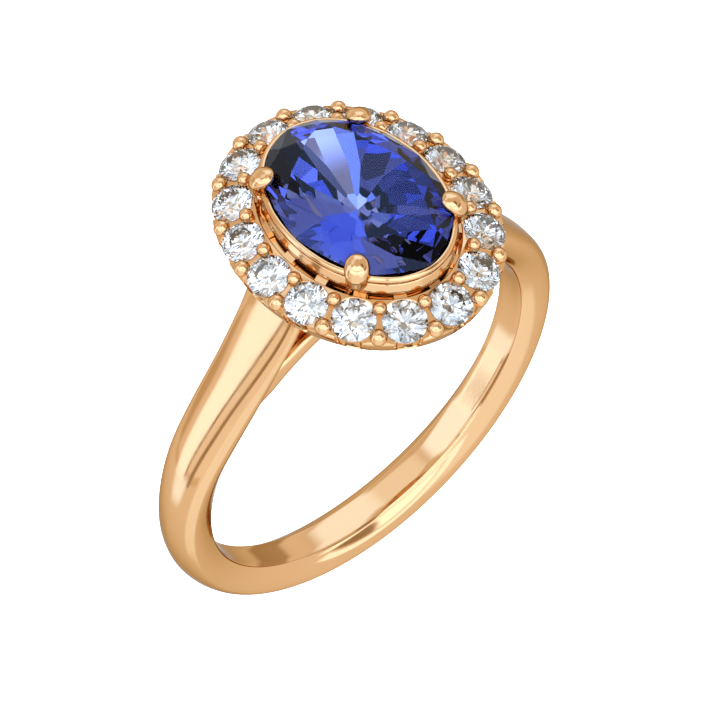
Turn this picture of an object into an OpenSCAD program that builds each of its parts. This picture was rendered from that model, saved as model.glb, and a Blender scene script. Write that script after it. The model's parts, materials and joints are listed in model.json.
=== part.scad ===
// Halo engagement ring: oval centre stone in four claws, a ring of small round
// stones around it, and a rounded band with cathedral shoulders and a bridge.
// Origin: centre of the finger hole. Y runs along the finger, Z up to the head.

/* [Finger hole and band] */
// Inside diameter of the ring, US size 6
finger_d = 16.5; // [16:0.1:17]
// Thickness of the band at the bottom
band_t_low = 1.38; // [1.3:0.02:1.5]
// Thickness of the band half way up
band_t_side = 1.72; // [1.6:0.02:1.8]
// Thickness of the band just below a shoulder
band_t_top = 1.48; // [1.4:0.02:1.54]
// Width of the band at the bottom
band_w_low = 2.5; // [2.4:0.02:2.7]
// Width of the band half way up
band_w_side = 2.2; // [2.1:0.02:2.4]
// Width of the band just below a shoulder
band_w_top = 2.66; // [2.5:0.02:2.8]
// Width of the flat inside face at the bottom
inner_w_low = 1.4; // [1.3:0.02:1.5]
// Width of the flat inside face half way up
inner_w_side = 1.52; // [1.4:0.02:1.6]
// Width of the flat inside face near the head
inner_w_top = 1.56; // [1.5:0.02:1.7]

/* [Shoulders and bridge] */
// Angle above the middle at which a shoulder leaves the round band
lift_angle = 45.6; // [45:0.2:46.4]
// Radius of the hollow curve of a shoulder's outside
flare_r = 11.9; // [11.6:0.1:12.2]
// Thickness of a shoulder at the halo
shoulder_t = 0.86; // [0.8:0.02:0.96]
// Width of a shoulder at the halo
shoulder_w = 2.96; // [2.8:0.02:3.1]
// Thickness of the bridge under the head
bridge_t = 0.75; // [0.6:0.05:0.8]
// Width of the bridge
bridge_w = 2; // [1.9:0.05:2.1]
// Angle above the middle at which the bridge leaves the band
bridge_angle = 48; // [47.5:0.5:49]

/* [Halo] */
// Width of the oval that the small stones' centres lie on
halo_w = 8.62; // [8.52:0.02:8.72]
// Length of that oval, along the finger
halo_l = 10.66; // [10.56:0.02:10.76]
// Height of the small stones' centres
halo_z = 12.32; // [12.24:0.02:12.4]
// Outward tilt of the small stones
halo_tilt = 20; // [17:1:21]
// Diameter of a small stone
diamond_d = 1.68; // [1.6:0.01:1.72]
// Diameter of an outer bead prong
outer_bead_d = 0.64; // [0.56:0.02:0.68]
// Diameter of an inner bead prong
inner_bead_d = 0.56; // [0.5:0.02:0.6]

/* [Centre stone] */
// Width of the centre stone
stone_w = 5.98; // [5.9:0.02:6.06]
// Length of the centre stone, along the finger
stone_l = 8.3; // [8.2:0.02:8.4]
// Height of its girdle
stone_z = 13.58; // [13.5:0.02:13.68]
// Height of its crown
crown_h = 0.62; // [0.52:0.02:0.7]
// Width of its table as a share of the stone's
table_share = 0.7; // [0.64:0.02:0.74]
// Depth of its pavilion
pavilion_h = 2.6; // [2.4:0.05:2.8]

/* [Claws and rails] */
// Distance of a claw tip's centre from the middle, across
claw_x = 2.35; // [2.31:0.02:2.39]
// Distance of a claw tip's centre from the middle, along the finger
claw_y = 2.76; // [2.72:0.02:2.8]
// Width of a claw tip
claw_tip_w = 0.96; // [0.85:0.02:1.05]
// Thickness of the lower gallery rail
rail_d = 0.36; // [0.3:0.02:0.42]

/* [Hidden] */
DIAMONDS = 16;
DIAMOND_NODES = [for (k = [1 : DIAMONDS]) str("diamond_", k < 10 ? "0" : "", k)];

gold = "#E8B67A";
white = "#EEF3F8";
violet = "#3F4FB5";

finger_r = finger_d / 2;
bridge_r = finger_r + bridge_t;
halo_a = halo_w / 2;
halo_b = halo_l / 2;
stone_a = stone_w / 2;
stone_b = stone_l / 2;
girdle_t = 0.08;          // thickness of the centre stone's edge
small_girdle_t = 0.04;    // thickness of a small stone's edge
halo_floor_z = 11.34;     // height of the halo's flat underside
halo_in = -0.92;          // the halo's inner edge, measured along its tilt
halo_out = 0.87;          // the halo's outer edge
outer_bead = [0.56, -0.04];  // an outer bead's centre: out from the stones' oval, up
inner_bead = [-0.51, 0.14];  // an inner bead's centre
seat_gap = 0.005;         // room between a stone and its seat
touch = 0.001;            // gap left where two soldered pieces meet
base_z = 9.75;            // top of the head's base ring
base_out = [1.5, 1.7];    // its outer half width and half length
base_in = [1.05, 1.25];   // its inner half width and half length
cup_top = [halo_a - 0.87, halo_b - 0.87];  // half width and half length of the cup's rim
cup_wall = 0.4;           // thickness of the cup's wall
WAIST = 0.65;             // share of the band's thickness at which it is widest
THIN_ANGLE = 39;          // from here up to the shoulder the thickness stays the same
ROUND = 1.75;             // squareness of the round part's outline
SQUARE_LIFT = 2.75;       // and where the shoulder starts
SQUARE_TOP = 3;           // and where it ends
SHOULDER_END = 21.5;      // direction at which the shoulder reaches its last shape
STEP = 6;                 // angle between two rings of the band's skin

// ---- helpers ----

function lerp(a, b, t) = a + (b - a) * t;
function smooth(t) = let (s = min(max(t, 0), 1)) s * s * (3 - 2 * s);
// Smooth run through two or more knots [place, value].
function track(x, k) =
  x <= k[0][0] ? k[0][1]
  : len(k) == 2 || x < k[1][0]
    ? lerp(k[0][1], k[1][1], smooth((x - k[0][0]) / (k[1][0] - k[0][0])))
    : track(x, [for (i = [1 : len(k) - 1]) k[i]]);
function bezier(p, q, r, t) = lerp(lerp(p, q, t), lerp(q, r, t), t);

// One closed skin over rings of points; closed joins the last ring to the first.
module skin(rings, closed = false) {
  n = len(rings);
  m = len(rings[0]);
  sides = [for (i = [0 : n - (closed ? 1 : 2)], j = [0 : m - 1])
             let (a = i * m + j, b = i * m + (j + 1) % m,
                  c = (i + 1) % n * m + (j + 1) % m, d = (i + 1) % n * m + j)
             each [[a, b, c], [a, c, d]]];
  caps = closed ? [] : [[for (j = [m - 1 : -1 : 0]) j],
                        [for (j = [0 : m - 1]) (n - 1) * m + j]];
  polyhedron(points = [for (r = rings) each r], faces = concat(sides, caps));
}

// Parameter on an oval whose steps are all equally long, for equal steps of s.
function even(a, b, s) =
  let (e = (b * b - a * a) / (4 * (a * a + b * b)) * 180 / PI)
  s - e * sin(2 * (s - e * sin(2 * s)));

// Point of an oval and its outward direction.
function oval(a, b, p) = [a * cos(p), b * sin(p)];
function oval_out(a, b, p) = let (v = [b * cos(p), a * sin(p)]) v / norm(v);

// Ring of a round wire at parameter p of an oval, r out and z up from it.
function rail_ring(a, b, z, d, p, sides = 12) =
  let (c = oval(a, b, p), n = oval_out(a, b, p))
  [for (k = [0 : sides - 1])
     let (r = d / 2 * cos(k * 360 / sides), h = d / 2 * sin(k * 360 / sides))
     [c.x + n.x * r, c.y + n.y * r, z + h]];

// ---- band, shoulders and bridge ----

// Half outline of the band's section: [depth from the inside as a share, half width].
// It is widest at WAIST. Above, it is an oval whose corners grow squarer as n rises.
function half_section(h, f, n) = concat(
  [for (a = [0 : 15 : 90])
     [WAIST + (1 - WAIST) * pow(cos(a), 2 / n), h * pow(sin(a), 2 / n)]],
  [for (t = [0.25 : 0.25 : 1]) bezier([WAIST, h], [0.37, h], [0.012, f + 0.008], t)],
  [[-0.06, f - 0.04]]);
function section(h, f, n) =
  let (half = half_section(h, f, n), m = len(half))
  concat([for (k = [m - 1 : -1 : 1]) [half[k][0], -half[k][1]]], half);

// Ring of the band between an inside point and an outside point of its side view.
function band_ring(inside, outside, h, f, n) =
  [for (q = section(h, f, n))
     let (p = lerp(inside, outside, q[0])) [p[0], q[1], p[1]]];

// The band by the angle above the middle.
function band_t(a) =
  track(a, [[-90, band_t_low], [0, band_t_side], [THIN_ANGLE, band_t_top]]);
function band_h(a) =
  track(a, [[-90, band_w_low / 2], [0, band_w_side / 2], [lift_angle, band_w_top / 2]]);
function inner_h(a) =
  track(a, [[-90, inner_w_low / 2], [0, inner_w_side / 2], [lift_angle, inner_w_top / 2]]);
function squareness(a) = track(a, [[0, ROUND], [lift_angle, SQUARE_LIFT]]);

// Ring at angle a above the middle, on the right-hand side.
function round_ring(a) =
  let (e = [cos(a), sin(a)])
  band_ring(e * finger_r, e * (finger_r + band_t(a)), band_h(a), inner_h(a), squareness(a));

// The shoulder bends away from the round band about a point outside the ring.
lift_r = finger_r + band_t_top;
flare_c = [cos(lift_angle), sin(lift_angle)] * (lift_r + flare_r);
function shoulder_ring(a) =
  let (e = [cos(a), sin(a)], outside = flare_c - e * flare_r,
       s = (lift_angle - a) / (lift_angle - SHOULDER_END),
       t = lerp(band_t_top, shoulder_t, smooth(s * 3)), w = smooth(s))
  band_ring(outside - e * t, outside, lerp(band_w_top, shoulder_w, w) / 2,
            lerp(inner_w_top / 2, 0.85, w), lerp(SQUARE_LIFT, SQUARE_TOP, w));

right_half = concat([for (a = [-90 : STEP : lift_angle - 3]) round_ring(a)],
                    [for (s = [0 : 0.1 : 1]) shoulder_ring(lerp(lift_angle, 16, s))]);
function left_of(ring) = [for (p = ring) [-p.x, p.y, p.z]];

module finger_hole(r, l = 12) {
  rotate([90, 0, 0]) cylinder(r = r, h = l, center = true, $fn = 180);
}

// Room above both shoulders' starts for the bridge that spans the hole.
module bridge_room() {
  rotate([90, 0, 0]) rotate([0, 0, bridge_angle])
    rotate_extrude(angle = 180 - 2 * bridge_angle, $fn = 180)
      translate([finger_r - 1, -4]) square([bridge_t + 1 + touch, 8]);
}

module shank() {
  n = len(right_half);
  color(gold) difference() {
    skin(concat([for (k = [n - 1 : -1 : 1]) right_half[k]],
                [for (k = [0 : n - 1]) left_of(right_half[k])]));
    finger_hole(finger_r);
    bridge_room();
    cup_outside(touch);
    translate([-10, -10, halo_floor_z]) cube([20, 20, 5]);
  }
}

module bridge() {
  h = bridge_w / 2;
  half = [[finger_r, h - 0.15], [finger_r + 0.13, h], [finger_r + 0.4, h],
          [bridge_r - 0.09, h - 0.08], [bridge_r, h - 0.28]];
  color(gold)
    rotate([90, 0, 0]) rotate([0, 0, bridge_angle])
      rotate_extrude(angle = 180 - 2 * bridge_angle, $fn = 180)
        polygon(concat(half, [for (k = [4 : -1 : 0]) [half[k][0], -half[k][1]]]));
}

// ---- head ----

module oval_post(half, h) {
  linear_extrude(height = h)
    polygon([for (p = [0 : 7.5 : 352.5]) oval(half.x, half.y, p)]);
}

module head_base() {
  color(gold) difference() {
    translate([0, 0, bridge_r - 0.6]) oval_post(base_out, base_z - bridge_r + 0.6);
    translate([0, 0, bridge_r - 1]) oval_post(base_in, 3);
    finger_hole(bridge_r + touch);
  }
}

// Ring of an oval with half width and half length h, at height z.
function oval_ring(h, z) = [for (p = [0 : 6 : 354]) [h[0] * cos(p), -h[1] * sin(p), z]];

// Open cup that widens from the head's base up to the halo's inner edge.
module cup_outside(grow = 0) {
  g = [grow, grow];
  skin([oval_ring(base_out + g, base_z + touch),
        oval_ring(cup_top - [0.35, 0.35] + g, halo_floor_z - 0.3),
        oval_ring(cup_top - [0.005, 0.005] + g, halo_floor_z + 0.3)]);
}

module basket() {
  rim = halo_floor_z + 0.3;
  wall = [cup_wall, cup_wall];
  color(gold) difference() {
    cup_outside();
    skin([oval_ring(base_in - [0.3, 0.3], base_z - 0.4), oval_ring(base_in, base_z),
          oval_ring(cup_top - wall - [0.4, 0.4], halo_floor_z - 0.3),
          oval_ring(cup_top - wall, rim), oval_ring(cup_top - wall, rim + 0.3)]);
    claw_bodies();
  }
}

// The stone rests on the bevel of the upper rail: [out from its edge, up from its edge].
rail_profile = [[-0.26, -0.26], [-0.19, -0.33], [-0.08, -0.37], [0.04, -0.37],
                [0.13, -0.33], [0.19, -0.24], [0.2, -0.13], [0.155, -0.045],
                [0.08, 0], [0, -0.01]];
module upper_rail() {
  z = stone_z - girdle_t / 2;
  color(gold) difference() {
    skin([for (p = [0 : 6 : 354])
            let (c = oval(stone_a, stone_b, p), n = oval_out(stone_a, stone_b, p))
            [for (q = rail_profile) [c.x + n.x * q[0], c.y + n.y * q[0], z + q[1]]]],
         closed = true);
    claw_bodies();
  }
}

// The lower rail is a plain wire that runs just under the upper one.
module lower_rail() {
  z = stone_z - girdle_t / 2 - 0.58;
  color(gold) difference() {
    skin([for (p = [0 : 6 : 354]) rail_ring(stone_a - 0.06, stone_b - 0.06, z, rail_d, p)],
         closed = true);
    claw_bodies();
  }
}

// A claw runs up its own upright plane: [distance from the middle, height, thickness, width].
claw_r = norm([claw_x, claw_y]);
claw_path = [[1.62, base_z - 0.35, 0.5, 0.5], [2.1, 10.4, 0.52, 0.52],
             [2.75, 11.5, 0.56, 0.56], [3.3, 12.5, 0.56, 0.6],
             [claw_r + 0.17, stone_z - 0.35, 0.56, 0.7], [claw_r + 0.22, stone_z - 0.1, 0.58, 0.8],
             [claw_r + 0.17, stone_z + 0.12, 0.66, 0.92],
             [claw_r + 0.02, stone_z + 0.3, 0.68, claw_tip_w],
             [claw_r - 0.18, stone_z + 0.41, 0.6, 0.9], [claw_r - 0.32, stone_z + 0.46, 0.5, 0.76],
             [claw_r - 0.42, stone_z + 0.48, 0.36, 0.54], [claw_r - 0.47, stone_z + 0.48, 0.16, 0.24]];

// Ring of a tube that follows a path in the XZ plane: d thick and w wide.
function tube_ring(path, k, sides = 16) =
  let (p = path[k], a = path[max(k - 1, 0)], b = path[min(k + 1, len(path) - 1)],
       v = [b[0] - a[0], b[1] - a[1]] / norm([b[0] - a[0], b[1] - a[1]]))
  [for (j = [0 : sides - 1])
     let (c = p[2] / 2 * cos(j * 360 / sides), s = p[3] / 2 * sin(j * 360 / sides))
     [p[0] + v[1] * c, -s, p[1] - v[0] * c]];

module claw_body() {
  skin([for (k = [0 : len(claw_path) - 1]) tube_ring(claw_path, k)]);
  claw_fork(1);
  claw_fork(-1);
}

// Leg that branches off a claw and runs out to the halo's inner edge.
fork_path = [[claw_r + 0.02, stone_z - 0.4, 0.3, 0.3],
             [claw_r + 0.05, stone_z - 0.7, 0.28, 0.28],
             [claw_r + 0.08, stone_z - 1.05, 0.28, 0.28]];
module claw_fork(side) {
  spread = 9;
  rotate([0, 0, side * spread / 2])
    skin([for (k = [0 : len(fork_path) - 1]) tube_ring(fork_path, k, 10)]);
}

module claw_bodies() {
  for (sx = [-1, 1], sy = [-1, 1])
    rotate([0, 0, atan2(sy * claw_y, sx * claw_x)]) claw_body();
}

module claw(sx, sy) {
  color(gold) difference() {
    rotate([0, 0, atan2(sy * claw_y, sx * claw_x)]) claw_body();
    head_base_room();
    gem(seat_gap);
  }
}

module head_base_room() {
  translate([0, 0, 8]) oval_post(base_out + [touch, touch], base_z - 8);
}

// ---- stones ----

// Oval brilliant cut, girdle at z = 0: 8 crown mains, 8 stars, 16 upper and 16 lower halves.
module brilliant(a, b, crown, girdle, pavilion, table = 0.56, tip = 0.80, low = 0.26) {
  tz = crown + girdle / 2;
  bz = pavilion + girdle / 2;
  star_z = girdle / 2 + crown * (1 - tip * cos(22.5)) / (1 - table);
  low_z = -girdle / 2 - pavilion * (1 - low * cos(22.5));
  function ring(share, z, n, first) =
    [for (k = [0 : n - 1]) [a * share * cos(first + k * 360 / n),
                            b * share * sin(first + k * 360 / n), z]];
  points = concat(ring(table, tz, 8, 0), ring(tip, star_z, 8, 22.5),
                  ring(1, girdle / 2, 16, 0), ring(1, -girdle / 2, 16, 0),
                  ring(low, low_z, 8, 22.5), [[0, 0, -bz]]);
  faces = concat(
    [[for (k = [7 : -1 : 0]) k]],
    [for (k = [0 : 7]) [k, (k + 1) % 8, 8 + k]],
    [for (k = [0 : 7]) [k, 8 + k, 16 + 2 * k, 8 + (k + 7) % 8]],
    [for (k = [0 : 7]) [8 + k, 17 + 2 * k, 16 + 2 * k]],
    [for (k = [0 : 7]) [8 + k, 16 + (2 * k + 2) % 16, 17 + 2 * k]],
    [for (k = [0 : 15]) [16 + k, 16 + (k + 1) % 16, 32 + (k + 1) % 16, 32 + k]],
    [for (k = [0 : 7]) [48 + k, 32 + 2 * k, 33 + 2 * k]],
    [for (k = [0 : 7]) [48 + k, 33 + 2 * k, 32 + (2 * k + 2) % 16]],
    [for (k = [0 : 7]) [56, 48 + (k + 7) % 8, 32 + 2 * k, 48 + k]]);
  polyhedron(points = points, faces = faces);
}

// The centre stone, or the room that a claw leaves for it.
module gem(grow = 0) {
  translate([0, 0, stone_z])
    brilliant(stone_a + grow, stone_b + grow, crown_h, girdle_t + 2 * grow, pavilion_h,
              table = table_share, tip = 0.86);
}

module centre_stone() {
  color(violet) gem();
}

// Places its children at station k of the halo, X outward and Z along the stone.
module at_halo(k) {
  p = even(halo_a, halo_b, k * 360 / DIAMONDS);
  c = oval(halo_a, halo_b, p);
  n = oval_out(halo_a, halo_b, p);
  translate([c.x, c.y, halo_z])
    rotate([0, 0, atan2(n.y, n.x)]) rotate([0, halo_tilt, 0]) children();
}

module small_stone(grow = 0) {
  r = diamond_d / 2 + grow;
  brilliant(r, r, 0.15 * diamond_d, small_girdle_t + 2 * grow, 0.43 * diamond_d);
}

module diamond(k) {
  color(white) at_halo(k) small_stone();
}

// ---- halo ----

// Ring of the halo's section at parameter p: tilted top, upright inside, flat underside.
function halo_point(p, u, w) =
  let (c = oval(halo_a, halo_b, p), n = oval_out(halo_a, halo_b, p),
       r = u * cos(halo_tilt) + w * sin(halo_tilt))
  [c.x + n.x * r, c.y + n.y * r, halo_z + w * cos(halo_tilt) - u * sin(halo_tilt)];
function halo_ring(p) =
  let (wall = (halo_z - halo_out * sin(halo_tilt) - halo_floor_z) / cos(halo_tilt),
       top_in = halo_point(p, halo_in, 0), rim = halo_point(p, halo_out, -wall),
       n = oval_out(halo_a, halo_b, p))
  [[top_in.x, top_in.y, halo_floor_z], rim, halo_point(p, halo_out, -0.06),
   halo_point(p, halo_out - 0.06, 0), halo_point(p, halo_in + 0.05, 0),
   [top_in.x, top_in.y, top_in.z - 0.05]];

// Seat of one small stone: a pocket that fits its lower half and a hole out below.
module seat() {
  r = diamond_d / 2 + seat_gap;
  depth = 0.445 * diamond_d;
  hole = 0.34;
  edge = -small_girdle_t / 2;
  rotate([0, 0, 7]) rotate_extrude($fn = 48)
    polygon([[0, -2], [hole, -2], [hole, edge - depth * (1 - hole / r)], [r, edge],
             [r, 0.5], [0, 0.5]]);
}

// Scallop in the outer wall and slot in the inner wall beside one small stone.
module wall_cuts() {
  translate([halo_out + 0.34, 0, -0.42]) cylinder(r = 0.42, h = 1, $fn = 32);
  translate([halo_in - 0.3, -0.42, -0.5]) cube([0.42, 0.84, 1]);
}

module halo_frame() {
  color(gold) difference() {
    skin([for (s = [2 : 3.75 : 358.25]) halo_ring(even(halo_a, halo_b, s))], closed = true);
    for (k = [0 : DIAMONDS - 1]) at_halo(k) {
      seat();
      wall_cuts();
    }
  }
}

// Beads stand between the stones, and each is notched where it grips a stone's edge.
module beads(at, d) {
  color(gold) difference() {
    for (k = [0 : DIAMONDS - 1]) at_halo(k + 0.5)
      difference() {
        translate([at[0], 0, at[1]]) sphere(d = d, $fn = 32);
        translate([at[0] - 1, -1, touch - 2]) cube(2);
      }
    for (k = [0 : DIAMONDS - 1]) at_halo(k) small_stone(seat_gap);
  }
}

module halo_outer_beads() {
  beads(outer_bead, outer_bead_d);
}

module halo_inner_beads() {
  beads(inner_bead, inner_bead_d);
}

// ---- assembly ----

shank();
bridge();
head_base();
basket();
lower_rail();
upper_rail();
claw(1, 1);  // claw_1
claw(-1, 1);  // claw_2
claw(-1, -1);  // claw_3
claw(1, -1);  // claw_4
halo_frame();
halo_inner_beads();
halo_outer_beads();
centre_stone();
for (k = [0 : DIAMONDS - 1])
  diamond(k);
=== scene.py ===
"""Looks of a halo engagement ring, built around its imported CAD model."""

import json
import math

import bmesh
import bpy
import numpy as np
from mathutils import Matrix, Vector


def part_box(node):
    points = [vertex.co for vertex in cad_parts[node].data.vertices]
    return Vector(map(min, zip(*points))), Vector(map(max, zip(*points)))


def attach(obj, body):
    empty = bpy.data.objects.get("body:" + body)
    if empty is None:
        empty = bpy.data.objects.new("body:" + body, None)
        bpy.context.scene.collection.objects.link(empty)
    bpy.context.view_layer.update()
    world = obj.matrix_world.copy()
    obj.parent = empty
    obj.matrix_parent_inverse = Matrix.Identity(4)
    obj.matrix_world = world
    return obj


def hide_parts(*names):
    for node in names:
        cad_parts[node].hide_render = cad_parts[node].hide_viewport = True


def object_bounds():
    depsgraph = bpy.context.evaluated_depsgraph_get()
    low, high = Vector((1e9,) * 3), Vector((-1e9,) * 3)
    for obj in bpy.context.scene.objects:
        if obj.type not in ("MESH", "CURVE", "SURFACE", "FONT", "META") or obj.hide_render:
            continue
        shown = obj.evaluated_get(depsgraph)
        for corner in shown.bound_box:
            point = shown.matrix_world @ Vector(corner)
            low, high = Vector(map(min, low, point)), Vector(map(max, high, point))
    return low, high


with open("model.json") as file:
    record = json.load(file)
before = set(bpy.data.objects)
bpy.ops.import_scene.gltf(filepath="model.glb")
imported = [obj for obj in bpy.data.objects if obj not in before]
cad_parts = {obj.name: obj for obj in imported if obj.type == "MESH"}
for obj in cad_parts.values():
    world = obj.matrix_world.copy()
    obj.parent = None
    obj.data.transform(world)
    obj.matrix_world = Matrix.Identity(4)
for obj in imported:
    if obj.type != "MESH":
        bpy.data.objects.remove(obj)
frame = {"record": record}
CAD_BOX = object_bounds()

MM = 0.001

# ---- sizes in millimetres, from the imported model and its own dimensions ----

FINGER_R = frame["record"]["mounts"][0]["dims"]["r_mm"]


def size_mm(node):
    """Lowest and highest corner of a CAD node, in millimetres."""
    low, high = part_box(node)
    return np.array(low) / MM, np.array(high) / MM


STONE_LOW, STONE_HIGH = size_mm("centre_stone")
STONE_A = STONE_HIGH[0]
STONE_B = STONE_HIGH[1]
STONE_TABLE = 0.70
STONE_STAR = 0.86
CROWN_H = 0.62
GIRDLE_T = 0.08
STONE_Z = STONE_HIGH[2] - CROWN_H - GIRDLE_T / 2
PAVILION_H = STONE_Z - GIRDLE_T / 2 - STONE_LOW[2]
# The drawn pavilion is this share of its real depth, so that its point shows near the middle of the table.
PAVILION_SHARE = 0.75
# The lower facets of every stone end at this share of its half width.
LOWER_FACETS = 0.26

HALO_FLOOR_Z = size_mm("halo_frame")[0][2]
HALO_COUNT = 16
HALO_A = 4.31
HALO_B = 5.33
HALO_Z = 12.32
HALO_TILT = math.radians(20)
HALO_IN = -0.92
HALO_OUT = 0.87
DIAMOND_D = 1.68
DIAMOND_TABLE = 0.56
DIAMOND_STAR = 0.80
DIAMOND_CROWN = 0.15 * DIAMOND_D
DIAMOND_PAVILION = 0.43 * DIAMOND_D
DIAMOND_GIRDLE = 0.04
SEAT_DEPTH = 0.445 * DIAMOND_D
SEAT_GAP = 0.005
LIGHT_HOLE_R = 0.34
# Place outward of the stones' middle, height above the halo's top, and diameter.
OUTER_BEAD = (0.56, 0.0, 0.66)
INNER_BEAD = (-0.51, 0.14, 0.56)

# Thickness, half width, half width of the flat inner wall and squareness of the rounded outside, by angle
# round the band: -90 is its lowest point, and the shoulders leave the circle at LIFT.
BAND_T = ((-90, 1.38), (0, 1.72), (39, 1.48))
LIFT = 45.6
BAND_H = ((-90, 1.25), (0, 1.10), (LIFT, 1.33))
INNER_H = ((-90, 0.70), (0, 0.76), (LIFT, 0.78))
SQUARENESS = ((0, 1.75), (LIFT, 2.75))
FLARE_R = 11.9
SHOULDER_T = 0.86
SHOULDER_H = 1.48
SHOULDER_INNER_H = 0.85
SHOULDER_SQUARENESS = 3.0
# Angles round the flare's centre: the section has its final shape at the first, and runs on to the second.
SHOULDER_END = 21.5
SHOULDER_LAST = 16
# Share of the thickness at which the rounded outside meets the side.
WAIST = 0.65

BRIDGE_T = 0.75
BRIDGE_END_T = 1.05
BRIDGE_H = 1.0
BRIDGE_END_H = 0.82
BRIDGE_INNER_H = 0.86
BRIDGE_END_INNER_H = 0.70
BRIDGE_START = 40
BASE_Z = 9.75
BASE_OUT = (1.5, 1.7)
BASE_IN = (1.05, 1.25)
CUP_INSET = 0.87
CUP_WALL = 0.4
RAIL_STEPS = 180

CLAW_X = 2.35
CLAW_Y = 2.76
CLAW_R = math.hypot(CLAW_X, CLAW_Y)


# ---- small maths ----


def lerp(a, b, t):
    """Value at share t of the way from a to b."""
    return a + (b - a) * t


def smooth(t):
    """Share from 0 to 1 that starts and ends softly."""
    s = min(max(t, 0.0), 1.0)
    return s * s * (3 - 2 * s)


def track(x, knots):
    """Smooth run through knots (place, value)."""
    if x <= knots[0][0]:
        return knots[0][1]
    for (x0, v0), (x1, v1) in zip(knots, knots[1:]):
        if x < x1:
            return lerp(v0, v1, smooth((x - x0) / (x1 - x0)))
    return knots[-1][1]


def curve_through(points, steps, closed=False):
    """Catmull-Rom curve through points, with a number of steps between two of them."""
    p = np.array(points, float)
    n = len(p)
    out = []
    for i in range(n if closed else n - 1):
        if closed:
            a, b, c, d = (p[(i + k) % n] for k in (-1, 0, 1, 2))
        else:
            a, b, c, d = p[max(i - 1, 0)], p[i], p[i + 1], p[min(i + 2, n - 1)]
        for t in np.arange(steps) / steps:
            out.append(0.5 * (2 * b + (c - a) * t + (2 * a - 5 * b + 4 * c - d) * t**2
                              + (3 * b - a - 3 * c + d) * t**3))
    if not closed:
        out.append(p[-1])
    return np.array(out)


def oval(a, b, p):
    """Point of an oval at parameter p."""
    return np.array([a * math.cos(p), b * math.sin(p)])


def oval_out(a, b, p):
    """Outward direction of an oval at parameter p."""
    v = np.array([b * math.cos(p), a * math.sin(p)])
    return v / np.linalg.norm(v)


def even(a, b, s):
    """Parameter of an oval for equal steps along it."""
    e = (b * b - a * a) / (4 * (a * a + b * b))
    return s - e * math.sin(2 * (s - e * math.sin(2 * s)))


# ---- mesh helpers ----


def new_object(name, verts, faces):
    """Mesh object from points in millimetres."""
    mesh = bpy.data.meshes.new(name)
    mesh.from_pydata([tuple(v) for v in np.array(verts, float) * MM], [], faces)
    mesh.validate()
    mesh.update()
    obj = bpy.data.objects.new(name, mesh)
    bpy.context.scene.collection.objects.link(obj)
    return obj


def loft(name, rings, closed=False):
    """Skin over rings of points; closed joins the last ring to the first, otherwise the ends are capped."""
    n, m = len(rings), len(rings[0])
    faces = []
    for i in range(n if closed else n - 1):
        j = (i + 1) % n
        for k in range(m):
            q = (k + 1) % m
            faces.append((i * m + k, j * m + k, j * m + q, i * m + q))
    if not closed:
        faces.append(tuple(range(m)))
        faces.append(tuple((n - 1) * m + k for k in reversed(range(m))))
    obj = new_object(name, np.concatenate(rings), faces)
    outward(obj)
    return obj


def outward(obj):
    """Turns all faces to the outside."""
    bm = bmesh.new()
    bm.from_mesh(obj.data)
    bmesh.ops.recalc_face_normals(bm, faces=bm.faces)
    bm.to_mesh(obj.data)
    bm.free()


def shade(obj, angle_deg):
    """Smooth shading that breaks at edges sharper than an angle."""
    bm = bmesh.new()
    bm.from_mesh(obj.data)
    limit = math.radians(angle_deg)
    for f in bm.faces:
        f.smooth = True
    for e in bm.edges:
        e.smooth = len(e.link_faces) == 2 and e.calc_face_angle(0.0) < limit
    bm.to_mesh(obj.data)
    bm.free()


def bake_modifiers(obj):
    """Applies an object's modifiers to its mesh."""
    bpy.context.view_layer.update()
    graph = bpy.context.evaluated_depsgraph_get()
    mesh = bpy.data.meshes.new_from_object(obj.evaluated_get(graph))
    obj.modifiers.clear()
    obj.data = mesh


def join(name, objects):
    """One object with all the meshes of several."""
    bm = bmesh.new()
    for o in objects:
        bm.from_mesh(o.data)
    mesh = bpy.data.meshes.new(name)
    bm.to_mesh(mesh)
    bm.free()
    for o in objects:
        bpy.data.objects.remove(o)
    obj = bpy.data.objects.new(name, mesh)
    bpy.context.scene.collection.objects.link(obj)
    return obj


def cut(obj, cutters):
    """Subtracts the cutters one after the other."""
    for c in cutters:
        m = obj.modifiers.new("cut", "BOOLEAN")
        m.operation = "DIFFERENCE"
        m.solver = "MANIFOLD"
        m.object = c
    bake_modifiers(obj)
    for c in cutters:
        bpy.data.objects.remove(c)


def melt(obj, voxel_mm, passes):
    """Fuses overlapping solids into one skin with soft inner corners."""
    m = obj.modifiers.new("voxels", "REMESH")
    m.mode = "VOXEL"
    m.voxel_size = voxel_mm * MM
    s = obj.modifiers.new("soften", "SMOOTH")
    s.factor = 0.5
    s.iterations = passes
    bake_modifiers(obj)


def ball(name, centre, radius, turn, rings=20, sides=28):
    """Ball whose poles follow the last column of turn, a 3x3 array of axes."""
    pts = []
    for i in range(1, rings):
        v = math.pi * i / rings
        pts.append([[math.sin(v) * math.cos(2 * math.pi * k / sides),
                     math.sin(v) * math.sin(2 * math.pi * k / sides), math.cos(v)] for k in range(sides)])
    flat = [np.array([0, 0, 1.0])] + [np.array(p) for r in pts for p in r] + [np.array([0, 0, -1.0])]
    base = (np.array(flat) * radius) @ turn.T + centre
    faces = [(0, 1 + k, 1 + (k + 1) % sides) for k in range(sides)]
    for i in range(rings - 2):
        a, b = 1 + i * sides, 1 + (i + 1) * sides
        for k in range(sides):
            q = (k + 1) % sides
            faces.append((a + k, b + k, b + q, a + q))
    last = len(base) - 1
    a = 1 + (rings - 2) * sides
    faces += [(last, a + (k + 1) % sides, a + k) for k in range(sides)]
    obj = new_object(name, base, faces)
    outward(obj)
    return obj


# ---- materials ----


def node_material(name):
    """New material with its nodes and links."""
    mat = bpy.data.materials.new(name)
    mat.use_nodes = True
    return mat, mat.node_tree.nodes, mat.node_tree.links


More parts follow.
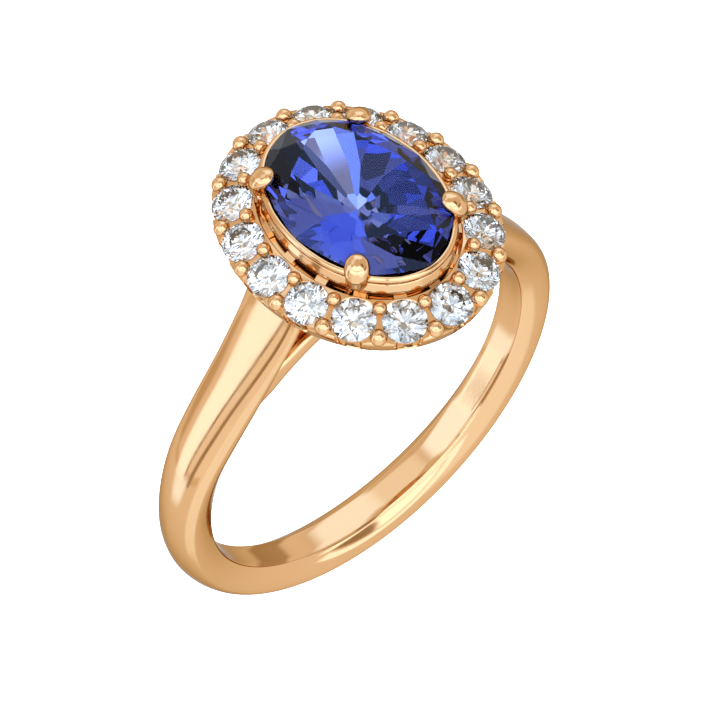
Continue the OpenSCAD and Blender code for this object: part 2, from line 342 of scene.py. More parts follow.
def noise(nodes, links, scale, detail):
    """Noise on object coordinates, from 0 to 1."""
    where = nodes.new("ShaderNodeTexCoord")
    tex = nodes.new("ShaderNodeTexNoise")
    tex.inputs["Scale"].default_value = scale
    tex.inputs["Detail"].default_value = detail
    links.new(where.outputs["Object"], tex.inputs["Vector"])
    return tex.outputs["Fac"]


def ramp(nodes, links, source, stops):
    """Colour ramp over a source, with stops (place, colour)."""
    r = nodes.new("ShaderNodeValToRGB")
    while len(r.color_ramp.elements) < len(stops):
        r.color_ramp.elements.new(0.5)
    for e, (place, colour) in zip(r.color_ramp.elements, stops):
        e.position = place
        e.color = colour
    links.new(source, r.inputs["Fac"])
    return r.outputs["Color"]


def gold_material():
    """Polished rose-yellow gold with faint colour drift, polish haze and fine hairlines."""
    mat, nodes, links = node_material("gold_polished")
    shader = nodes["Principled BSDF"]
    shader.inputs["Metallic"].default_value = 1.0
    shader.inputs["Specular Tint"].default_value = (0.5, 0.42, 0.33, 1)
    tint = ramp(nodes, links, noise(nodes, links, 220, 2),
                [(0.3, (0.765, 0.447, 0.213, 1)), (0.7, (0.78, 0.459, 0.223, 1))])
    links.new(tint, shader.inputs["Base Color"])
    haze = ramp(nodes, links, noise(nodes, links, 900, 3),
                [(0.35, (0.07, 0.07, 0.07, 1)), (0.75, (0.12, 0.12, 0.12, 1))])
    links.new(haze, shader.inputs["Roughness"])
    bump = nodes.new("ShaderNodeBump")
    bump.inputs["Strength"].default_value = 0.02
    bump.inputs["Distance"].default_value = 0.00002
    links.new(noise(nodes, links, 6000, 2), bump.inputs["Height"])
    links.new(bump.outputs["Normal"], shader.inputs["Normal"])
    return mat


def gem_material(name, ior, tints, shine=(1, 1, 1, 1), absorb=None, density=0.0):
    """Clear cut stone; tints are two near surface colours, absorb the colour that its depth keeps."""
    mat, nodes, links = node_material(name)
    shader = nodes["Principled BSDF"]
    shader.inputs["Transmission Weight"].default_value = 1.0
    shader.inputs["Roughness"].default_value = 0.0
    shader.inputs["IOR"].default_value = ior
    shader.inputs["Specular Tint"].default_value = shine
    tint = ramp(nodes, links, noise(nodes, links, 500, 2), [(0.35, tints[0]), (0.65, tints[1])])
    links.new(tint, shader.inputs["Base Color"])
    if absorb:
        volume = nodes.new("ShaderNodeVolumeAbsorption")
        volume.inputs["Color"].default_value = absorb
        volume.inputs["Density"].default_value = density
        links.new(volume.outputs["Volume"], nodes["Material Output"].inputs["Volume"])
    return mat


def painted_backing(name, tint):
    """Mirror material for pavilion facets seen through the stone, with painted light or shade; tint is what
    one reflection keeps, set lighter or darker so that facets show bright or dark.
    """
    mat, nodes, links = node_material(name)
    shader = nodes["Principled BSDF"]
    shader.inputs["Metallic"].default_value = 1.0
    shader.inputs["Roughness"].default_value = 0.0
    near = [(*(c * k for c in tint), 1) for k in (0.96, 1.04)]
    links.new(ramp(nodes, links, noise(nodes, links, 500, 2), [(0.35, near[0]), (0.65, near[1])]),
              shader.inputs["Base Color"])
    return mat


GOLD = gold_material()
VIOLET = gem_material("violet_gem", 1.5, ((0.92, 0.94, 1.0, 1), (0.95, 0.96, 1.0, 1)),
                      shine=(0.3, 0.36, 0.6, 1), absorb=(0.3, 0.36, 0.78, 1), density=60)
# Three lit and shaded copies of one mirror: painted light, painted mid shade and painted deep shade for the
# centre stone's facets.
VIOLET_FACET_SHADES = [painted_backing("violet_back_painted_light", (0.31, 0.35, 0.71)),
                painted_backing("violet_back_painted_mid_shade", (0.21, 0.255, 0.60)),
                painted_backing("violet_back_painted_deep_shade", (0.12, 0.16, 0.47))]
WHITE = gem_material("white_gem", 2.42, ((1.0, 0.95, 0.87, 1), (1.0, 0.97, 0.91, 1)),
                     shine=(1.0, 0.9, 0.78, 1))
# The small stones' list holds the clear material three times and one grey mirror, a painted shade for dark
# facets.
WHITE_FACET_SHADES = [WHITE, WHITE, WHITE, painted_backing("white_back_painted_shade", (0.42, 0.41, 0.40))]


def place(obj, material, slot, node):
    """Gives a finished piece its material and its body, and hides the CAD node that it stands for."""
    obj.data.materials.clear()
    obj.data.materials.append(material)
    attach(obj, "root")
    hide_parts(node)


# ---- band, shoulders and bridge ----


def unit(deg):
    """Direction at an angle, in the upright plane of the band."""
    return np.array([math.cos(math.radians(deg)), math.sin(math.radians(deg))])


def band_section(h, f, n):
    """Section of the band: depth from the inside as a share, and place across its width.

    h is half its width, f half the flat inner wall's, and n the squareness of the rounded outside.
    Below the outside come a side that bends inwards and a rounded lip at the finger hole.
    """
    a = np.radians(np.linspace(0, 90, 26))
    crown = np.stack([WAIST + (1 - WAIST) * np.cos(a) ** (2 / n), h * np.sin(a) ** (2 / n)], 1)
    t = np.linspace(0, 1, 15)[1:, None]
    p, q, r = np.array([WAIST, h]), np.array([0.37, h]), np.array([0.07, f + 0.035])
    side = (1 - t) ** 2 * p + 2 * t * (1 - t) * q + t**2 * r
    turn = np.radians(np.linspace(50, 0, 7))[1:]
    lip = np.stack([0.11 * (1 - np.cos(turn)) + 0.03 * np.sin(turn), f - 0.09 + 0.16 * np.sin(turn)], 1)
    lip = np.concatenate([lip, [[0.0, f * 0.5]]])
    half = np.concatenate([crown, side, lip])
    other = half[1:][::-1] * np.array([1, -1])
    return np.concatenate([half, [[0.0, 0.0]], other])


def band_ring(inside, outside, h, f, n):
    """Ring of points of one band section, between an inside and an outside point."""
    s = band_section(h, f, n)
    p = inside[None, :] + (outside - inside)[None, :] * s[:, :1]
    return np.stack([p[:, 0], s[:, 1], p[:, 1]], 1)


def round_ring(deg):
    """Section of the round part of the band."""
    e = unit(deg)
    return band_ring(e * FINGER_R, e * (FINGER_R + track(deg, BAND_T)), track(deg, BAND_H),
                     track(deg, INNER_H), track(deg, SQUARENESS))


def shoulder_ring(deg):
    """Section of the right shoulder, whose outside is an arc that bends away from the circle."""
    top_t, top_h, top_f, top_n = BAND_T[-1][1], BAND_H[-1][1], INNER_H[-1][1], SQUARENESS[-1][1]
    e = unit(deg)
    outside = unit(LIFT) * (FINGER_R + top_t + FLARE_R) - e * FLARE_R
    s = (LIFT - deg) / (LIFT - SHOULDER_END)
    w = smooth(s)
    t = lerp(top_t, SHOULDER_T, smooth(s * 3))
    return band_ring(outside - e * t, outside, lerp(top_h, SHOULDER_H, w),
                     lerp(top_f, SHOULDER_INNER_H, w), lerp(top_n, SHOULDER_SQUARENESS, w))


def fair(rings, centre, reach, spread):
    """Evens out the bend around one ring of the band.

    Rings within reach become weighted means of their neighbours over spread, both in millimetres.
    """
    p = np.array(rings)
    run = np.concatenate([[0], np.cumsum(np.linalg.norm(np.diff(p[:, 0], axis=0), axis=1))])
    out = p.copy()
    for i in range(len(p)):
        s = spread * smooth(1.6 * (1 - abs(run[i] - run[centre]) / reach))
        if s > 0.05:
            w = np.exp(-((run - run[i]) / s) ** 2 / 2)
            out[i] = np.tensordot(w / w.sum(), p, 1)
    far = np.maximum(np.hypot(out[:, :, 0], out[:, :, 2]), 1e-6)
    push = np.maximum(1.0, FINGER_R / far)
    out[:, :, 0] *= push
    out[:, :, 2] *= push
    return list(out)


def make_band():
    """Band with both shoulders, cut off just inside the halo's underside."""
    right = [round_ring(d) for d in np.linspace(-90, LIFT - 0.6, 136)]
    lift_ring = len(right)
    right += [shoulder_ring(d) for d in np.linspace(LIFT, SHOULDER_LAST, 60)]
    right = fair(right, lift_ring, reach=4.5, spread=1.2)
    left = [r * np.array([-1, 1, 1]) for r in right[1:]][::-1]
    band = loft("band", left + right)
    bm = bmesh.new()
    bm.from_mesh(band.data)
    cut_z = (HALO_FLOOR_Z + 0.05) * MM
    made = bmesh.ops.bisect_plane(bm, geom=bm.verts[:] + bm.edges[:] + bm.faces[:], dist=1e-9,
                                  plane_co=(0, 0, cut_z), plane_no=(0, 0, 1), clear_outer=True)
    rim = [e for e in made["geom_cut"] if isinstance(e, bmesh.types.BMEdge)]
    bmesh.ops.holes_fill(bm, edges=rim, sides=0)
    bm.to_mesh(band.data)
    bm.free()
    outward(band)
    shade(band, 40)
    place(band, GOLD, "gold", "shank")


def bridge_section(f, h, t):
    """Section of the bridge: height above the finger hole, and place across its width."""
    half = curve_through([[0.0, f], [0.14, h - 0.02], [0.4, h], [t - 0.09, h - 0.09],
                          [t, h - 0.3]], 5)
    half = np.concatenate([[[0.0, 0.0], [0.0, f * 0.5]], half, [[t, 0.0]]])
    other = half[1:-1][::-1] * np.array([1, -1])
    return np.concatenate([half, other])


def make_bridge():
    """Bridge over the finger hole: narrower and thicker at the ends that the shoulders hide."""
    rings = []
    last = 180 - BRIDGE_START
    for deg in np.linspace(BRIDGE_START, last, 141):
        away = min(deg - BRIDGE_START, last - deg)
        grow = smooth((away - 2) / 12)
        s = bridge_section(lerp(BRIDGE_END_INNER_H, BRIDGE_INNER_H, grow),
                           lerp(BRIDGE_END_H, BRIDGE_H, grow),
                           lerp(BRIDGE_END_T, BRIDGE_T, smooth((away - 6) / 18)))
        p = unit(deg)[None, :] * (FINGER_R + s[:, :1])
        rings.append(np.stack([p[:, 0], s[:, 1], p[:, 1]], 1))
    bridge = loft("bridge_bar", rings)
    shade(bridge, 40)
    place(bridge, GOLD, "gold", "bridge")


# ---- head ----


def oval_rows(profile, count):
    """Rings of a closed profile (half width, half length, height) that runs round an oval."""
    rings = []
    for k in range(count):
        p = 2 * math.pi * k / count
        rings.append(np.array([[q[0] * math.cos(p), q[1] * math.sin(p), q[2]] for q in profile]))
    return rings


def make_base():
    """Base ring of the head, whose foot is sunk into the bridge."""
    low = FINGER_R + BRIDGE_T - 0.5
    profile = [(BASE_IN[0], BASE_IN[1], low), (BASE_IN[0], BASE_IN[1], BASE_Z),
               (BASE_OUT[0] - 0.05, BASE_OUT[1] - 0.05, BASE_Z), (BASE_OUT[0], BASE_OUT[1], BASE_Z - 0.05),
               (BASE_OUT[0], BASE_OUT[1], low)]
    base = loft("base_ring", oval_rows(profile, 96), closed=True)
    shade(base, 40)
    place(base, GOLD, "gold", "head_base")


def make_basket():
    """Open cup that widens from the base ring to the halo."""
    rim = HALO_FLOOR_Z + 0.3
    top = (HALO_A - CUP_INSET, HALO_B - CUP_INSET)
    outside = curve_through([(BASE_OUT[0], BASE_OUT[1], BASE_Z), (2.35, 3.1, 10.45),
                             (top[0] - 0.33, top[1] - 0.33, HALO_FLOOR_Z - 0.3), (top[0], top[1], rim)], 8)
    inside = outside[::-1] - np.array([CUP_WALL, CUP_WALL, 0])
    cup = loft("basket_cup", oval_rows(list(outside) + list(inside), 120), closed=True)
    shade(cup, 50)
    place(cup, GOLD, "gold", "basket")


# Section of the upper rail, (out, up) from the stone's edge; the stone rests on the slope that closes it.
RAIL_PROFILE = [(-0.26, -0.26), (-0.19, -0.33), (-0.08, -0.37), (0.04, -0.37), (0.13, -0.33),
                (0.19, -0.24), (0.2, -0.13), (0.155, -0.045), (0.08, 0.0), (0.0, -0.01)]


def rail(name, profile, node):
    """Closed rail that runs round the centre stone's edge; profile is (out, up) from it."""
    rings = []
    for k in range(RAIL_STEPS):
        p = 2 * math.pi * k / RAIL_STEPS
        c, n = oval(STONE_A, STONE_B, p), oval_out(STONE_A, STONE_B, p)
        rings.append(np.array([[c[0] + n[0] * u, c[1] + n[1] * u, STONE_Z - GIRDLE_T / 2 + w]
                               for u, w in profile]))
    obj = loft(name, rings, closed=True)
    shade(obj, 40)
    place(obj, GOLD, "gold", node)


def make_rails():
    """Upper rail, and lower rail with a slope that fills the gap towards the halo."""
    bevel = curve_through(RAIL_PROFILE[1:9], 4)
    rail("rail_upper", list(bevel) + [RAIL_PROFILE[9], RAIL_PROFILE[0]], "upper_rail")
    slope = curve_through([(-0.02, -0.37), (0.1, -0.41), (0.15, -0.5), (0.23, -0.66), (0.25, -0.76),
                           (0.2, -0.84), (0.21, -0.93), (0.1, -1.0)], 4)
    rail("rail_lower", list(slope) + [(-0.1, -1.0), (-0.1, -0.4)], "lower_rail")


# Each claw's post and one leg of its forked foot, as (distance out, height, thickness, width).
CLAW_PATH = [(1.62, BASE_Z - 0.35, 0.5, 0.5), (2.1, 10.4, 0.52, 0.52), (2.75, 11.5, 0.56, 0.56),
             (3.3, 12.5, 0.56, 0.6), (CLAW_R + 0.17, STONE_Z - 0.35, 0.56, 0.7),
             (CLAW_R + 0.22, STONE_Z - 0.1, 0.58, 0.8), (CLAW_R + 0.17, STONE_Z + 0.12, 0.66, 0.92),
             (CLAW_R + 0.02, STONE_Z + 0.3, 0.68, 0.96), (CLAW_R - 0.18, STONE_Z + 0.41, 0.6, 0.9),
             (CLAW_R - 0.32, STONE_Z + 0.46, 0.5, 0.76), (CLAW_R - 0.42, STONE_Z + 0.48, 0.36, 0.54),
             (CLAW_R - 0.47, STONE_Z + 0.48, 0.16, 0.24)]
FORK_PATH = [(CLAW_R + 0.02, STONE_Z - 0.4, 0.3, 0.3), (CLAW_R + 0.05, STONE_Z - 0.7, 0.28, 0.28),
             (CLAW_R + 0.08, STONE_Z - 1.05, 0.28, 0.28), (CLAW_R + 0.06, STONE_Z - 1.5, 0.28, 0.28)]
FORK_SPREAD = 4.5


def tube(name, path, turn_deg, sides=24):
    """Tube along a path (distance out, height, thickness, width), in an upright plane turned about Z."""
    p = curve_through(path, 5)
    a = math.radians(turn_deg)
    rings = []
    for k in range(len(p)):
        v = p[min(k + 1, len(p) - 1), :2] - p[max(k - 1, 0), :2]
        v = v / np.linalg.norm(v)
        ring = []
        for j in range(sides):
            c = p[k, 2] / 2 * math.cos(2 * math.pi * j / sides)
            s = p[k, 3] / 2 * math.sin(2 * math.pi * j / sides)
            r, z = p[k, 0] + v[1] * c, p[k, 1] - v[0] * c
            ring.append((r * math.cos(a) - s * math.sin(a), r * math.sin(a) + s * math.cos(a), z))
        rings.append(np.array(ring))
    return loft(name, rings)


def make_claws():
    """Four claws, each a post and a forked foot fused into one skin."""
    quarters = [(1, 1), (-1, 1), (-1, -1), (1, -1)]
    for k, (sx, sy) in enumerate(quarters, 1):
        turn = math.degrees(math.atan2(sy * CLAW_Y, sx * CLAW_X))
        parts = [tube("post", CLAW_PATH, turn)]
        parts += [tube("leg", FORK_PATH, turn + side * FORK_SPREAD, 12) for side in (-1, 1)]
        claw = join(f"claw_{k}_cast", parts)
        melt(claw, 0.03, 3)
        shade(claw, 60)
        place(claw, GOLD, "gold", f"claw_{k}")


# ---- halo ----


def station(s):
    """Axes of the halo at place s in stones: origin, out, along, up (columns tilt with the halo)."""
    p = even(HALO_A, HALO_B, s * 2 * math.pi / HALO_COUNT)
    c, n = oval(HALO_A, HALO_B, p), oval_out(HALO_A, HALO_B, p)
    out = np.array([n[0] * math.cos(HALO_TILT), n[1] * math.cos(HALO_TILT), -math.sin(HALO_TILT)])
    up = np.array([n[0] * math.sin(HALO_TILT), n[1] * math.sin(HALO_TILT), math.cos(HALO_TILT)])
    along = np.cross(up, out)
    return np.array([c[0], c[1], HALO_Z]), out, along, up


def station_turn(s):
    """Axes of a station as the columns of a 3x3 array."""
    return np.stack(station(s)[1:], 1)


def at(s, u, v, w):
    """Point u out, v along and w up from a station."""
    o, out, along, up = station(s)
    return o + out * u + along * v + up * w


def halo_block(name, s, low, high):
    """Box in a station's own axes, between two corners (out, along, up)."""
    corners = [(low[0] if i & 1 == 0 else high[0], low[1] if i & 2 == 0 else high[1],
                low[2] if i & 4 == 0 else high[2]) for i in range(8)]
    faces = [(0, 2, 3, 1), (4, 5, 7, 6), (0, 1, 5, 4), (2, 6, 7, 3), (0, 4, 6, 2), (1, 3, 7, 5)]
    obj = new_object(name, [at(s, *c) for c in corners], faces)
    outward(obj)
    return obj


def halo_turned(name, s, outline, centre=(0, 0), sides=48):
    """Solid of revolution about a station's up axis through centre; outline is (radius, height)."""
    rings = []
    for r, w in outline:
        rings.append(np.array([at(s, centre[0] + r * math.cos(2 * math.pi * j / sides),
                                  centre[1] + r * math.sin(2 * math.pi * j / sides), w)
                               for j in range(sides)]))
    return loft(name, rings)


def halo_profile(s):
    """Section of the halo frame: tilted top and outer wall, level floor and upright inner wall."""
    o, out, _, up = station(s)
    flat = np.array([out[0], out[1], 0]) / math.cos(HALO_TILT)

    def point(u, w):
        return o + out * u + up * w

    inner = point(HALO_IN, 0)
    deep = (HALO_Z - HALO_OUT * math.sin(HALO_TILT) - HALO_FLOOR_Z) / math.cos(HALO_TILT)
    rim = point(HALO_OUT, -deep)
    return np.array([
        [inner[0], inner[1], HALO_FLOOR_Z], [rim[0] - flat[0] * 0.05, rim[1] - flat[1] * 0.05, HALO_FLOOR_Z],
        rim + up * 0.05, point(HALO_OUT, -deep * 0.5), point(HALO_OUT, -0.05),
        point(HALO_OUT - 0.05, 0), point(0.3, 0), point(-0.3, 0), point(HALO_IN + 0.04, 0),
        [inner[0], inner[1], inner[2] - 0.04]])


def make_halo():
    """Halo frame with its seats and light holes, notched outside, toothed and ledged inside."""
    steps = 18
    rings = [halo_profile((k + 0.5) / steps) for k in range(HALO_COUNT * steps)]
    halo = loft("halo_cast", rings, closed=True)
    r = DIAMOND_D / 2 + SEAT_GAP
    girdle = -DIAMOND_GIRDLE / 2
    neck = girdle - SEAT_DEPTH * (1 - LIGHT_HOLE_R / r)
    cutters = []
    for k in range(HALO_COUNT):
        cutters.append(halo_turned("seat", k, [(LIGHT_HOLE_R, -2), (LIGHT_HOLE_R, neck), (r, girdle),
                                               (r, 0.5)]))
        cutters.append(halo_block("notch", k, (HALO_OUT - 0.09, -0.46, -0.62), (HALO_OUT + 0.3, 0.46, 0.3)))
        cutters.append(halo_block("panel", k, (HALO_OUT - 0.15, -0.17, -0.62), (HALO_OUT + 0.3, 0.17, 0.3)))
        for side in (-1, 1):
            cutters.append(halo_turned("flute", k, [(0.07, -0.66), (0.07, 0.3)],
                                       (HALO_OUT - 0.08, side * 0.47), 16))
    cut(halo, cutters)
    m = halo.modifiers.new("soft_edges", "BEVEL")
    m.width = 0.014 * MM
    m.segments = 2
    m.limit_method = "ANGLE"
    m.angle_limit = math.radians(28)
    m.use_clamp_overlap = True
    bake_modifiers(halo)
    teeth = [halo_block("tooth", k, (HALO_IN - 0.24, -0.24, -0.34), (HALO_IN + 0.14, 0.24, -0.05))
             for k in range(HALO_COUNT)]
    under = [np.array([at(k / 12, *c) for c in
                       [(HALO_IN - 0.2, 0, -0.4), (HALO_IN + 0.1, 0, -0.36), (HALO_IN + 0.1, 0, -0.6),
                        (HALO_IN - 0.16, 0, -0.6)]]) for k in range(HALO_COUNT * 12)]
    halo = join("halo_cast", [halo, loft("halo_ledge", under, closed=True)] + teeth)
    shade(halo, 38)
    place(halo, GOLD, "gold", "halo_frame")


def make_beads():
    """Round prongs between the stones; the inner ones stand on short necks."""
    for name, (u, w, d), node in (("beads_outer", OUTER_BEAD, "halo_outer_beads"),
                                  ("beads_inner", INNER_BEAD, "halo_inner_beads")):
        parts = []
        for k in range(HALO_COUNT):
            s = k + 0.5
            parts.append(ball("bead", at(s, u, 0, w), d / 2, station_turn(s)))
            if w > 0:
                parts.append(halo_turned("neck", s, [(d * 0.40, -0.05), (d * 0.37, w * 0.6)], (u, 0), 24))
        beads = join(name, parts)
        shade(beads, 60)
        place(beads, GOLD, "gold", node)


# ---- stones ----


def cut_stone(a, b, crown, girdle, pavilion, table, tip, sides, fine=False):
    """Brilliant with a smooth oval edge: an oval block, cut by the facets' planes of a round stone.

    table and tip are the shares of the half width at which the table and the star facets end.
    fine shaves more facets off the pavilion.
    """
    low = LOWER_FACETS
    half_step = 22.5
    tz, bz = crown + girdle / 2, pavilion + girdle / 2
    inset = math.cos(math.radians(half_step))
    star_z = girdle / 2 + crown * (1 - tip * inset) / (1 - table)
    low_z = -girdle / 2 - pavilion * (1 - low * inset)

    def polar(r, deg, z):
        return Vector((r * math.cos(math.radians(deg)), r * math.sin(math.radians(deg)), z))

    planes = [(Vector((0, 0, tz)), Vector((0, 0, 1)))]

    def facet(p, q, r):
        n = (q - p).cross(r - p).normalized()
        planes.append((p, n if n.dot(p) > 0 else -n))

    top, bottom = girdle / 2, -girdle / 2
    for d in range(0, 360, 45):
        middle, end = d + half_step, d + 45
        star, lower = polar(tip, middle, star_z), polar(low, middle, low_z)
        facet(polar(table, d, tz), polar(table, end, tz), star)
        facet(polar(table, d, tz), star, polar(1, d, top))
        facet(star, polar(1, middle, top), polar(1, d, top))
        facet(star, polar(1, end, top), polar(1, middle, top))
        facet(lower, polar(1, d, bottom), polar(1, middle, bottom))
        facet(lower, polar(1, middle, bottom), polar(1, end, bottom))
        facet(Vector((0, 0, -bz)), polar(low, d - half_step, low_z), polar(1, d, bottom))
    if fine:
        rise = (bottom - low_z) / (1 - low)
        for k in range(8):
            d = 45 * k + half_step
            for r, z, slope in ((0.3, -bz + pavilion * 0.3 * inset, pavilion * 0.8),
                                (0.62, low_z + rise * (0.62 - low) + 0.05, rise),
                                (0.85, low_z + rise * (0.85 - low) + 0.05, rise * 1.25)):
                planes.append((polar(r, d, z), polar(slope, d, -1).normalized()))
    bm = bmesh.new()
    bmesh.ops.create_cone(bm, cap_ends=True, cap_tris=False, segments=sides, radius1=1, radius2=1,
                          depth=2 * max(tz, bz) + 1)
    for co, no in planes:
        geom = bm.verts[:] + bm.edges[:] + bm.faces[:]
        made = bmesh.ops.bisect_plane(bm, geom=geom, dist=1e-6, plane_co=co, plane_no=no, clear_outer=True)
        rim = [e for e in made["geom_cut"] if isinstance(e, bmesh.types.BMEdge)]
        if rim:
            bmesh.ops.holes_fill(bm, edges=rim, sides=0)
    bmesh.ops.scale(bm, vec=(a, b, 1), verts=bm.verts)
    bmesh.ops.recalc_face_normals(bm, faces=bm.faces)
    verts = [np.array(v.co) for v in bm.verts]
    bm.verts.index_update()
    faces = [tuple(v.index for v in f.verts) for f in bm.faces]
    bm.free()
    return verts, faces


def back_facets(stone, facet_shades, up, along):
    """Gives the facets below the girdle shades from a list, in a fixed uneven order: mirror backings whose
    tints are painted light and shade, or the stone's own clear material.
    """
    for facet_shade in facet_shades:
        stone.data.materials.append(facet_shade)
    across = np.cross(along, up)
    for face in stone.data.polygons:
        n = np.array(face.normal)
        if n @ up < 0.1:
            pick = math.sin(7.3 * math.atan2(n @ along, n @ across) + 11.7 * (n @ up))
            face.material_index = 1 + int((pick + 1) * 0.4999 * len(facet_shades))


def make_centre_stone():
    """Violet oval brilliant."""
    verts, faces = cut_stone(STONE_A, STONE_B, CROWN_H, GIRDLE_T, PAVILION_H * PAVILION_SHARE,
                             STONE_TABLE, STONE_STAR, sides=160, fine=True)
    stone = new_object("centre_gem", np.array(verts) + np.array([0, 0, STONE_Z]), faces)
    outward(stone)
    place(stone, VIOLET, "violet_stone", "centre_stone")
    # The pavilion facets get mirror backings in three painted shades, light, mid and deep, for the bright
    # and dark facets that light makes.
    back_facets(stone, VIOLET_FACET_SHADES, np.array([0, 0, 1]), np.array([0, 1, 0]))


def make_diamonds():
    """Sixteen small round brilliants, one at each station of the halo."""
    r = DIAMOND_D / 2
    verts, faces = cut_stone(r, r, DIAMOND_CROWN, DIAMOND_GIRDLE, DIAMOND_PAVILION,
                             DIAMOND_TABLE, DIAMOND_STAR, sides=64)
    for k in range(HALO_COUNT):
        o, _, along, up = station(k)
        gem = new_object(f"small_gem_{k + 1:02d}", np.array(verts) @ station_turn(k).T + o, faces)
        outward(gem)
        place(gem, WHITE, "white_stone", f"diamond_{k + 1:02d}")
        # Some pavilion facets get a grey mirror backing, a painted shade for the dark facets that light
        # makes.
        back_facets(gem, WHITE_FACET_SHADES, up, along)


# ---- studio ----

# Angles in degrees, distances in millimetres.
CAMERA_AZ = 39.687
CAMERA_EL = 54.617
CAMERA_ROLL = 0.399
CAMERA_FAR = 122.703
CAMERA_AIM = (0.947, 1.076, 1.017)
LENS = 150


def view_axes():
    """Directions ahead, right and down of the camera."""
    az, el = math.radians(CAMERA_AZ), math.radians(CAMERA_EL)
    ahead = Vector((math.sin(az) * math.cos(el), math.cos(az) * math.cos(el), -math.sin(el)))
    right = ahead.cross(Vector((0, 0, 1))).normalized()
    down = ahead.cross(right)
    c, s = math.cos(math.radians(CAMERA_ROLL)), math.sin(math.radians(CAMERA_ROLL))
    return ahead, right * c + down * s, down * c - right * s


def make_camera():
    ahead, right, down = view_axes()
    data = bpy.data.cameras.new("camera")
    data.lens = LENS
    data.sensor_width = 36
    data.clip_start = 0.001
    data.clip_end = 10
    cam = bpy.data.objects.new("camera", data)
    turn = Matrix((right, -down, -ahead)).transposed()
    cam.matrix_world = Matrix.Translation((Vector(CAMERA_AIM) - ahead * CAMERA_FAR) * MM) @ turn.to_4x4()
    bpy.context.scene.collection.objects.link(cam)
    bpy.context.scene.camera = cam


# Soft boxes and dark cards of the studio, as (azimuth, elevation, half width, half height, soft edge, lean)
# in degrees and a colour. Azimuth 0 is along +Y and 90 along +X; lean is the turn in azimuth for each degree
# up. A later one covers an earlier one.
SKY = (1.0, 1.0, 1.0)
WINDOW = (1.55, 1.95, 2.6)
GLOW = (1.2, 1.34, 1.52)
SHADE = (0.72, 0.62, 0.48)
LINE = (0.42, 0.34, 0.23)
STUDIO = [
    (0, 62, 180, 36, 10, 0, (0.84, 0.78, 0.68)),
    (-145, -22, 33, 36, 12, 0, GLOW),
    (-87, 0, 20, 12, 4, 0, (1.12, 1.15, 1.2)),
    (-72, -14, 26, 1.5, 3, 0, (0.85, 0.78, 0.65)),
    (-36, 3, 8, 10, 8, 0, SHADE),
    (-8, 63, 34, 5, 8, 0, (1.15, 1.28, 1.45)),
    (-60, 34, 10, 14, 8, 0, (1.4, 1.85, 2.6)),
    (-62, 3, 4, 20, 3.5, 0.04, WINDOW),
    (-67, 3, 0.6, 18, 1, 0.07, LINE),
    (-79, 4, 2.2, 22, 2, 0, LINE),
    (-67, -23, 5, 3, 9, 0, (1.35, 1.75, 2.4)),
    (62, -4, 30, 9, 8, 0, (0.55, 0.46, 0.34)),
    (62, 17, 30, 4, 8, 0, (0.95, 0.93, 0.9)),
    (48, 48, 24, 12, 12, 0, (1.3, 1.65, 2.2)),
    (172, 26, 45, 5, 4, 0, (0.42, 0.34, 0.25)),
    (172, 10, 34, 4, 3, 0, (1.6, 2.0, 2.5)),
    (138, 54, 12, 9, 5, -1.2, (0.3, 0.23, 0.16)),
    (-140, 46, 58, 25, 5, 0, (1.9, 2.25, 2.8)),
    (-140, 46, 1.3, 27, 1, 0, SHADE),
    (-140, 40, 60, 1, 1, 0, SHADE),
]


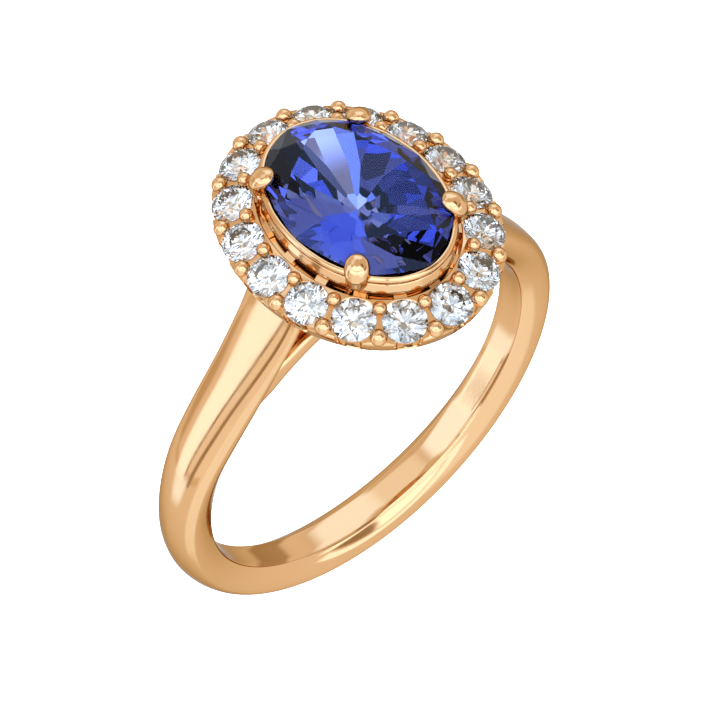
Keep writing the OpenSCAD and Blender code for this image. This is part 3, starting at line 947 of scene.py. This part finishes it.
def make_world():
    """World light: soft boxes and cards by direction. The camera itself sees plain white."""
    # Sockets of a colour Mix node: share, colour below, colour above, and the mixed colour.
    mix_share, mix_below, mix_above, mixed = 0, 6, 7, 2
    world = bpy.data.worlds.new("studio")
    world.use_nodes = True
    nodes, links = world.node_tree.nodes, world.node_tree.links
    back = nodes["Background"]
    where = nodes.new("ShaderNodeTexCoord")
    split = nodes.new("ShaderNodeSeparateXYZ")
    links.new(where.outputs["Generated"], split.inputs[0])

    def maths(operation, *values):
        n = nodes.new("ShaderNodeMath")
        n.operation = operation
        for k, v in enumerate(values):
            if isinstance(v, (int, float)):
                n.inputs[k].default_value = v
            else:
                links.new(v, n.inputs[k])
        return n.outputs[0]

    def fade(value, edge, soft):
        n = nodes.new("ShaderNodeMapRange")
        n.interpolation_type = "SMOOTHSTEP"
        n.inputs["From Min"].default_value = math.radians(edge)
        n.inputs["From Max"].default_value = math.radians(edge + soft)
        n.inputs["To Min"].default_value = 1.0
        n.inputs["To Max"].default_value = 0.0
        links.new(value, n.inputs["Value"])
        return n.outputs["Result"]

    azimuth = maths("ARCTAN2", split.outputs["X"], split.outputs["Y"])
    elevation = maths("ARCSINE", split.outputs["Z"])
    colour = None
    for az, el, half_w, half_h, soft, lean, tint in STUDIO:
        off_el = maths("SUBTRACT", elevation, math.radians(el))
        middle = maths("MULTIPLY_ADD", off_el, lean, math.radians(az))
        off_az = maths("WRAP", maths("SUBTRACT", azimuth, middle), math.pi, -math.pi)
        inside = maths("MULTIPLY", fade(maths("ABSOLUTE", off_az), half_w, soft),
                       fade(maths("ABSOLUTE", off_el), half_h, soft))
        mix = nodes.new("ShaderNodeMix")
        mix.data_type = "RGBA"
        mix.inputs[mix_above].default_value = (*tint, 1)
        mix.inputs[mix_below].default_value = (*SKY, 1)
        if colour is not None:
            links.new(colour, mix.inputs[mix_below])
        links.new(inside, mix.inputs[mix_share])
        colour = mix.outputs[mixed]
    links.new(colour, back.inputs["Color"])
    plain = nodes.new("ShaderNodeBackground")
    plain.inputs["Color"].default_value = (1, 1, 1, 1)
    path = nodes.new("ShaderNodeLightPath")
    choose = nodes.new("ShaderNodeMixShader")
    links.new(path.outputs["Is Camera Ray"], choose.inputs[0])
    links.new(back.outputs[0], choose.inputs[1])
    links.new(plain.outputs[0], choose.inputs[2])
    links.new(choose.outputs[0], nodes["World Output"].inputs["Surface"])
    bpy.context.scene.world = world


def make_floor():
    """Plain white floor that only the camera sees, so that the world alone lights the ring."""
    side, below = 400, 0.2
    floor = new_object("floor", [(-side, -side, 0), (side, -side, 0), (side, side, 0), (-side, side, 0)],
                       [(0, 1, 2, 3)])
    floor.location.z = CAD_BOX[0].z - below * MM
    mat, nodes, links = node_material("floor_white")
    shader = nodes["Principled BSDF"]
    pale = ramp(nodes, links, noise(nodes, links, 4, 1),
                [(0.2, (0.95, 0.95, 0.95, 1)), (0.8, (0.97, 0.97, 0.97, 1))])
    links.new(pale, shader.inputs["Base Color"])
    shader.inputs["Roughness"].default_value = 0.9
    shader.inputs["Emission Color"].default_value = (1, 1, 1, 1)
    shader.inputs["Emission Strength"].default_value = 1.0
    floor.data.materials.append(mat)
    floor.visible_glossy = False
    floor.visible_diffuse = False
    floor.visible_transmission = False
    floor.visible_shadow = False


make_camera()
make_band()
make_bridge()
make_base()
make_basket()
make_rails()
make_claws()
make_halo()
make_beads()
make_centre_stone()
make_diamonds()
make_world()
make_floor()
bpy.context.scene.view_settings.view_transform = "Standard"
